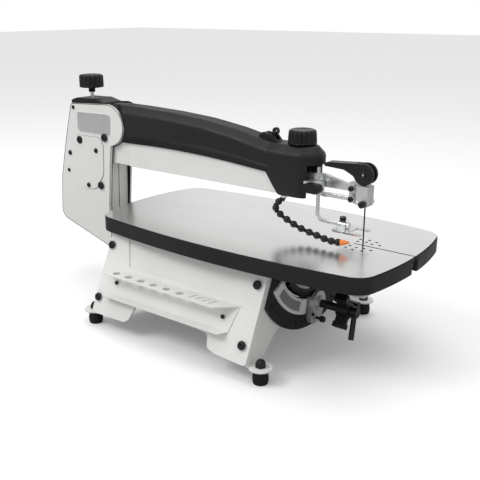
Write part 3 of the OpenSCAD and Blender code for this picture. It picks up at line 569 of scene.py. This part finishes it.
# A CAD screw narrower than these along x is a trunnion screw or a shelf screw. The rest are panel bolts
TRUNNION_BELOW = 6.5
SHELF_BELOW = 12
Head = namedtuple("Head", "radius height lift")
PANEL_HEAD = Head(radius=7.3, height=3.4, lift=3.3)
SHELF_HEAD = Head(radius=3.6, height=2.2, lift=1.1)
# Screws round the front trunnion plate: (angle, radius)
TRUNNION_SCREWS = [(side * angle, radius) for side in (-1, 1)
                   for angle, radius in ((54, 4.2), (42, 3.0), (27, 3.0), (20, 3.0))]
TRUNNION_SCREW_HEIGHT = 1.6
TRUNNION_FACE = -90
TRUNNION_CIRCLE = 150
# Outer faces, from the middle, of the column's covers and of the access plate on the left one
COVER_FACE = 30
ACCESS_FACE = 32
SMALL_BELOW = 4.5
SMALL_HEIGHT, LARGE_HEIGHT = 2.2, 2.8
# Profiles of the rubber feet and domed nuts: (radius, height from the floor)
FOOT = [(10.6, 0), (11.6, 0.5), (12.3, 2.2), (13.0, 7), (12.9, 13), (11.9, 14.6), (11.7, 16.2), (12.2, 17),
        (11.6, 21), (10, 24.6), (4, 25)]
NUT = [(4, 25.2), (4, 28.2), (8.6, 28.2, "hex"), (9, 29, "hex"), (9, 33.6, "hex"), (8.2, 34.6), (7.4, 35),
       (7.0, 37), (5.6, 39), (3.4, 40.0), (0.8, 40.2)]


def island_from(start, seen):
    """The places of all vertices that edges join to start."""
    stack, island = [start], []
    seen.add(start)
    while stack:
        vertex = stack.pop()
        island.append(vertex.co.copy())
        for edge in vertex.link_edges:
            other = edge.other_vert(vertex)
            if other not in seen:
                seen.add(other)
                stack.append(other)
    return island


def solids(node):
    """The separate solids of a CAD node, each as its (lowest, highest) corner."""
    bm = bmesh.new()
    bm.from_mesh(NODES[node].data)
    bmesh.ops.remove_doubles(bm, verts=bm.verts, dist=WELD)
    seen, found = set(), []
    for start in bm.verts:
        if start not in seen:
            island = island_from(start, seen)
            found.append((Vector([min(p[k] for p in island) for k in range(3)]),
                          Vector([max(p[k] for p in island) for k in range(3)])))
    bm.free()
    return found


def base_screws():
    bm = bmesh.new()
    for low, high in solids("base_bolts"):
        width = (high.x - low.x) / MM
        if width < TRUNNION_BELOW:
            continue
        centre = (low + high) / 2
        out = Vector((0, math.copysign(1, centre.y) * math.cos(SPLAY), math.sin(SPLAY)))
        head = PANEL_HEAD if width > SHELF_BELOW else SHELF_HEAD
        socket_screw(bm, centre + out * (head.lift * MM), out, head.radius, head.height)
    for angle, radius in TRUNNION_SCREWS:
        origin = at_angle(TRUNNION_FACE, TRUNNION_CIRCLE, angle)
        socket_screw(bm, origin, (1, 0, 0), radius, TRUNNION_SCREW_HEIGHT)
    add_piece("base_screws", bm, "base", LOOKS["black_paint"], ["base_bolts"])


def column_screws():
    bm = bmesh.new()
    for low, high in solids("column_screws"):
        centre = (low + high) / 2
        side = math.copysign(1, centre.y)
        radius = (high.x - low.x) / MM / 2
        small = radius < SMALL_BELOW
        face = COVER_FACE if small or side > 0 else ACCESS_FACE
        origin = Vector((centre.x, side * face * MM, centre.z))
        socket_screw(bm, origin, (0, side, 0), radius, SMALL_HEIGHT if small else LARGE_HEIGHT)
    add_piece("column_screw_heads", bm, "tilt_body", LOOKS["black_paint"], ["column_screws"])


def on_floor(node, rows):
    """One turned body, from the floor up, for each solid of a CAD node."""
    bm = bmesh.new()
    for low, high in solids(node):
        centre = (low + high) / 2
        turned(bm, rows, Matrix.Translation((centre.x, centre.y, 0)))
    return bm


def feet():
    add_piece("feet_rubber", on_floor("feet", FOOT), "base", LOOKS["rubber"], ["feet"])
    add_piece("foot_acorn_nuts", on_floor("foot_nuts", NUT), "base", LOOKS["black_paint"],
              ["foot_nuts"])


# ---------------------------------------------------------------- tilt scale
MARK_OUTER = 112.6
MARK_INNER = 111.5
LONG_MARK_INNER = 108.8
MARK_HALF = 0.25
MARK_FACES = (-86.0, -85.8)
WINDOW_INNER, WINDOW_OUTER = 114.0, 130.0
WINDOW_FACES = (-87.9, -87.6)


def scale_marks():
    """A mark at every 2 degrees along the tilt scale, longer at every 10."""
    bm = bmesh.new()
    for angle in range(-60, -11, 2):
        inner = LONG_MARK_INNER if angle % 10 == 0 else MARK_INNER
        a = math.radians(angle)
        half = Vector((0, math.cos(a), math.sin(a))) * MARK_HALF * MM
        skin(bm, [[at_angle(x, radius, angle) + half * side for radius, side in
                   ((inner, -1), (inner, 1), (MARK_OUTER, 1), (MARK_OUTER, -1))] for x in MARK_FACES])
    add_piece("scale_marks", bm, "base", INK, smooth=False)


def scale_window():
    """Grey window in the tilt scale."""
    outline = [(WINDOW_INNER, angle) for angle in range(-55, -20, 2)]
    outline += [(WINDOW_OUTER, angle) for angle in range(-21, -56, -2)]
    bm = bmesh.new()
    skin(bm, [[at_angle(x, radius, angle) for radius, angle in outline] for x in WINDOW_FACES])
    add_piece("scale_window", bm, "base", WINDOW, smooth=False)


# ---------------------------------------------------------------- small fixed details
# Profiles: (radius, height from the piece's face)
COLLAR = [(3.6, -4), (4.0, -3.4), (4.0, 2.8), (3.4, 3.6), (1.2, 3.7)]
THUMB_NUT = [(3.4, -2), (4.6, -1.6), (5.0, 0, "flute"), (5.0, 5.4, "flute"), (4.2, 6.4), (1, 6.6)]
THUMB_SCREW = [(2.4, -4), (2.4, 7), (5.2, 7.4), (5.6, 9, "flute"), (5.6, 14, "flute"), (4.6, 15.4),
               (1, 15.8)]
# Knob of the hold-down foot: (radius, height from the table top)
FOOT_KNOB = [(4.6, 34.0), (5.3, 34.6, "flute"), (5.3, 40.2, "flute"), (4.7, 41.0), (2.4, 41.2)]


def lever_caps():
    """Pivot caps of the blade tension lever."""
    bm = bmesh.new()
    for side in (-1, 1):
        socket_screw(bm, at(-2, side * 8.7, 116), (0, side, 0), 5.2, 1.8)
    add_piece("lever_pivot_caps", bm, "tension_lever", LOOKS["black_plastic"])


def block_details():
    """Link screws, collar and thumb nut of the upper blade holder."""
    bm = bmesh.new()
    for z in (92, 75):
        socket_screw(bm, at(-20, -12.4, z), (0, -1, 0), 4.4, 2.6)
    add_piece("block_screws", bm, "upper_block", LOOKS["black_plastic"])
    bm = bmesh.new()
    turned(bm, COLLAR, frame_along(at(-6.4, -13, 71), (0, -1, 0)), 32)
    turned(bm, THUMB_NUT, frame_along(at(3, 10.6, 71), (0, 1, 0)), 40, flutes=10, depth=0.7)
    add_piece("chuck_collar", bm, "upper_block", LOOKS["bright_steel"])


def foot_knob():
    """Small ribbed knob of the hold-down foot."""
    bm = bmesh.new()
    turned(bm, FOOT_KNOB, Matrix.Translation(at(-38, 0, 0)), 60, flutes=10, depth=0.7)
    add_piece("foot_clamp_knob", bm, "holddown_foot", LOOKS["black_plastic"])


def housing_details():
    """Pin and small thumb screw in the pinion housing."""
    bm = bmesh.new()
    socket_screw(bm, at(-79.6, -13, -136), (1, 0, 0), 4.2, 2.4)
    turned(bm, THUMB_SCREW, frame_along(at(-80, 0, -148), (1, 0, 0)), flutes=8, depth=0.8)
    add_piece("housing_screws", bm, "base", LOOKS["black_plastic"])


# ---------------------------------------------------------------- trims of the column's covers, and a painted shadow round the access plate
# How far, in metres, a face's corners may be from its plane
FLAT = 1e-5
TRIM_THICK = 0.35
COVER_TRIM = {"inset": 0.1, "width": 1.3, "lift": 0.15, "look": LOOKS["black_paint"]}
# This strip sits on the cover just outside the access plate's outline: a painted shadow of the gap round the
# plate
PLATE_SHADOW_LINE = {"inset": -0.55, "width": 0.6, "lift": -1.85, "look": SHADOW_GAP}


def face_loop(node, face_y):
    """The outline of the flat face of a CAD node that lies at y = face_y, in metres."""
    bm = bmesh.new()
    bm.from_mesh(NODES[node].data)
    bmesh.ops.remove_doubles(bm, verts=bm.verts, dist=WELD)
    flat = {f for f in bm.faces if all(abs(v.co.y - face_y) < FLAT for v in f.verts)}
    rim = {}
    for face in flat:
        for loop in face.loops:
            if sum(f in flat for f in loop.edge.link_faces) == 1:
                rim[loop.vert.index] = (loop.link_loop_next.vert.index, loop.vert.co.copy())
    bm.free()
    loops = []
    while rim:
        points, index = [], next(iter(rim))
        while index in rim:
            index, point = rim.pop(index)
            points.append(point)
        loops.append(points)
    return max(loops, key=lambda points: sum((a - b).length for a, b in zip(points, points[1:])))


def edge_trim(name, node, side, inset, width, lift, look):
    """A flat bead that follows the outline of a cover plate, lifted from its face."""
    points = face_loop(node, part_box(node)[0].y if side < 0 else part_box(node)[1].y)
    area = sum(a.x * b.z - b.x * a.z for a, b in zip(points, points[1:] + points[:1]))
    turn = math.copysign(1, area)
    low = lift - TRIM_THICK
    corners = ((inset, low), (inset, lift), (inset + width, lift), (inset + width, low))
    count = len(points)
    bm = bmesh.new()
    rings = [[] for _ in corners]
    for k, point in enumerate(points):
        along = (points[(k + 1) % count] - points[k - 1]).normalized()
        inward = Vector((-along.z, 0, along.x)) * turn
        for ring, (reach, out) in zip(rings, corners):
            ring.append(bm.verts.new(point + inward * reach * MM + Vector((0, side * out * MM, 0))))
    for a, b in zip(rings, rings[1:] + rings[:1]):
        for k in range(count):
            j = (k + 1) % count
            bm.faces.new((a[k], a[j], b[j], b[k]))
    add_piece(name, bm, "tilt_body", look)


# ---------------------------------------------------------------- light, floor and world
FLOOR_HALF = 14
# Brightness of the world by height, from straight down to straight up
WORLD_STOPS = ((0.0, 0.9), (0.3, 1.0), (0.38, 0.75), (0.5, 0.4), (0.66, 0.8), (1.0, 1.0))
# Towards the rear the world dims to DARK_SIDE, as the direction's x goes from DARK_TO to DARK_FROM
DARK_SIDE = 0.38
DARK_FROM, DARK_TO = -0.8, -0.6
LIGHT_TARGET = Vector((0, 0, 0.2))


def add_light(name, place, size, power):
    data = bpy.data.lights.new(name, "AREA")
    data.shape = "RECTANGLE"
    data.size, data.size_y = size
    data.energy = power
    light = bpy.data.objects.new(name, data)
    light.location = place
    light.rotation_euler = (LIGHT_TARGET - Vector(place)).to_track_quat("-Z", "Y").to_euler()
    bpy.context.scene.collection.objects.link(light)


def paper_floor():
    """White studio paper that throws little light back up at the object."""
    material = new_material("studio_floor", (0.86, 0.86, 0.86), 0.9, specular=0.05)
    nodes, links = material.node_tree.nodes, material.node_tree.links
    paper = nodes["Principled BSDF"]
    paper.inputs["Emission Color"].default_value = (1, 1, 1, 1)
    paper.inputs["Emission Strength"].default_value = 0.12
    dull = nodes.new("ShaderNodeBsdfDiffuse")
    dull.inputs["Color"].default_value = (0.42, 0.42, 0.42, 1)
    seen = nodes.new("ShaderNodeLightPath")
    mix = nodes.new("ShaderNodeMixShader")
    links.new(seen.outputs["Is Camera Ray"], mix.inputs["Fac"])
    links.new(dull.outputs["BSDF"], mix.inputs[1])
    links.new(paper.outputs["BSDF"], mix.inputs[2])
    links.new(mix.outputs["Shader"], nodes["Material Output"].inputs["Surface"])
    return material


def add_floor():
    bm = bmesh.new()
    bmesh.ops.create_grid(bm, x_segments=2, y_segments=2, size=FLOOR_HALF)
    mesh = bpy.data.meshes.new("floor")
    bm.to_mesh(mesh)
    bm.free()
    floor = bpy.data.objects.new("floor", mesh)
    bpy.context.scene.collection.objects.link(floor)
    mesh.materials.append(paper_floor())


def grey_ramp(nodes, links, source, stops):
    """A brightness over a 0 to 1 source, by stops of (position, level) from 0 to 1."""
    ramp = nodes.new("ShaderNodeValToRGB")
    elements = ramp.color_ramp.elements
    for element, (_, level) in zip(elements, (stops[0], stops[-1])):
        element.color = (level, level, level, 1)
    for position, level in stops[1:-1]:
        elements.new(position).color = (level, level, level, 1)
    links.new(source, ramp.inputs["Fac"])
    return ramp.outputs["Color"]


def add_world():
    """A soft grey gradient for light and reflections, and plain white behind the object."""
    world = bpy.data.worlds.new("studio")
    bpy.context.scene.world = world
    world.use_nodes = True
    nodes, links = world.node_tree.nodes, world.node_tree.links
    coords = nodes.new("ShaderNodeTexCoord")
    split = nodes.new("ShaderNodeSeparateXYZ")
    links.new(coords.outputs["Generated"], split.inputs["Vector"])
    across = nodes.new("ShaderNodeMapRange")
    across.interpolation_type = "SMOOTHSTEP"
    across.inputs["From Min"].default_value = DARK_FROM
    across.inputs["From Max"].default_value = DARK_TO
    across.inputs["To Min"].default_value = DARK_SIDE
    across.inputs["To Max"].default_value = 1.0
    links.new(split.outputs["X"], across.inputs["Value"])
    product = nodes.new("ShaderNodeMath")
    product.operation = "MULTIPLY"
    links.new(grey_ramp(nodes, links, split.outputs["Z"], WORLD_STOPS), product.inputs[0])
    links.new(across.outputs["Result"], product.inputs[1])
    seen = nodes.new("ShaderNodeLightPath")
    choose = nodes.new("ShaderNodeMix")
    choose.inputs["B"].default_value = 1.0
    links.new(seen.outputs["Is Camera Ray"], choose.inputs["Factor"])
    links.new(product.outputs["Value"], choose.inputs["A"])
    links.new(choose.outputs["Result"], nodes["Background"].inputs["Color"])
    nodes["Background"].inputs["Strength"].default_value = 1.0


def add_studio():
    add_floor()
    add_world()
    add_light("key", (-1.0, -1.6, 2.0), size=(1.2, 0.9), power=27)
    add_light("top", (0.2, 0.3, 2.2), size=(2.2, 1.6), power=14)
    bpy.context.scene.view_settings.view_transform = "Standard"


# ---------------------------------------------------------------- build
add_camera()
arm_cover()
head_cover()
fluted_knob("speed_dial_knob", "speed_dial", DIAL_CENTRE, SPEED_DIAL, ["speed_dial"])
fluted_knob("tension_knob", "rear_knob", REAR_CENTRE, REAR_KNOB)
tension_rod()
air_hose()
base_screws()
column_screws()
feet()
scale_marks()
scale_window()
lever_caps()
block_details()
foot_knob()
housing_details()
edge_trim("cover_trim_left", "column_cover_left", -1, **COVER_TRIM)
edge_trim("cover_trim_right", "column_cover_right", 1, **COVER_TRIM)
# Painted shadow line round the access plate
edge_trim("access_plate_shadow_line", "access_plate", -1, **PLATE_SHADOW_LINE)
for node_name in NODES:
    finish_node(node_name)
darken_holes()
NODES["badge_plate"].material_slots[0].material = BADGE
add_studio()
